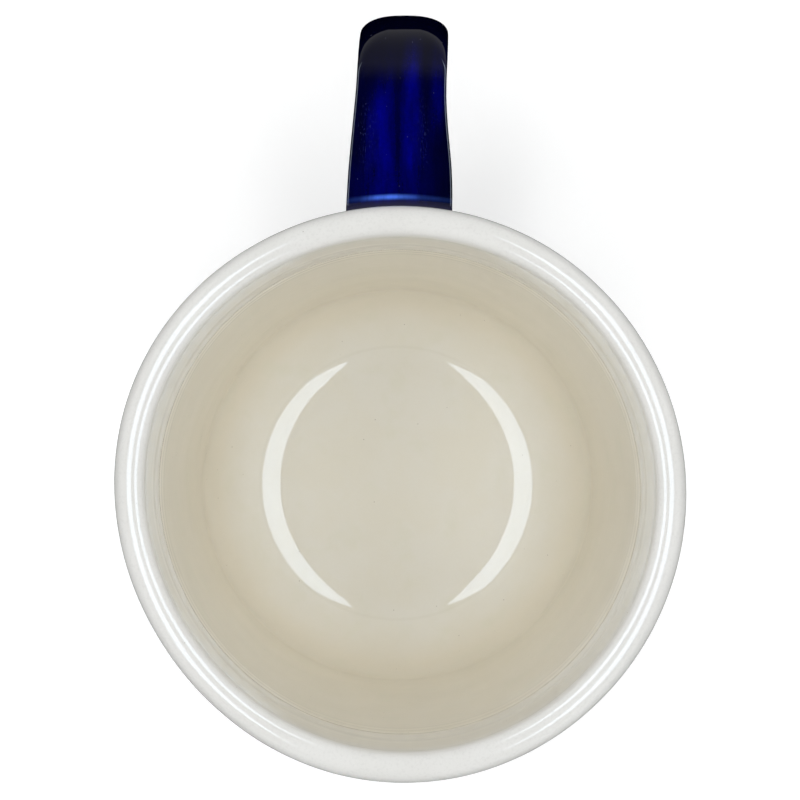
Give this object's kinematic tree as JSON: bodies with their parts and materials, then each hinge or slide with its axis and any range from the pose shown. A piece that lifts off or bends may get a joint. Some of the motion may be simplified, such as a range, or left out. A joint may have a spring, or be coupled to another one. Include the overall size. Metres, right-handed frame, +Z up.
{
  "type": "mug",
  "caption": "Straight-sided glazed ceramic mug: white outside and lip, cream inside, cobalt-blue strap handle, bare clay foot ring.",
  "frame": {"origin": "on the table, under the middle of the mug's whole length and width (cup and handle together); the cup's own axis is 16.2 mm from it towards -Y", "axes": "+Z up, the way the mug stands; +Y from the cup towards the handle; +X to the right seen from above with the handle pointing away"},
  "size_m": [0.09, 0.1224, 0.094],
  "materials": {
    "bare_clay": "matt fired buff stoneware, bare only on the foot ring",
    "slip": "matt fired slip between handle and cup",
    "white_glaze": "glossy soft white glaze with fine specks",
    "cream_glaze": "glossy cream-beige liner glaze with fine pinholes",
    "cobalt_glaze": "glossy deep cobalt-blue glaze, near black where it lies thick"
  },
  "bodies": {
    "root": {"cup_body": "bare_clay", "white_outer_glaze": "white_glaze", "cream_liner_glaze": "cream_glaze", "foot_recess_glaze": "white_glaze", "strap_handle": "bare_clay", "cobalt_handle_glaze": "cobalt_glaze", "upper_slip_joint": "slip", "lower_slip_joint": "slip"}
  },
  "joints": []
}
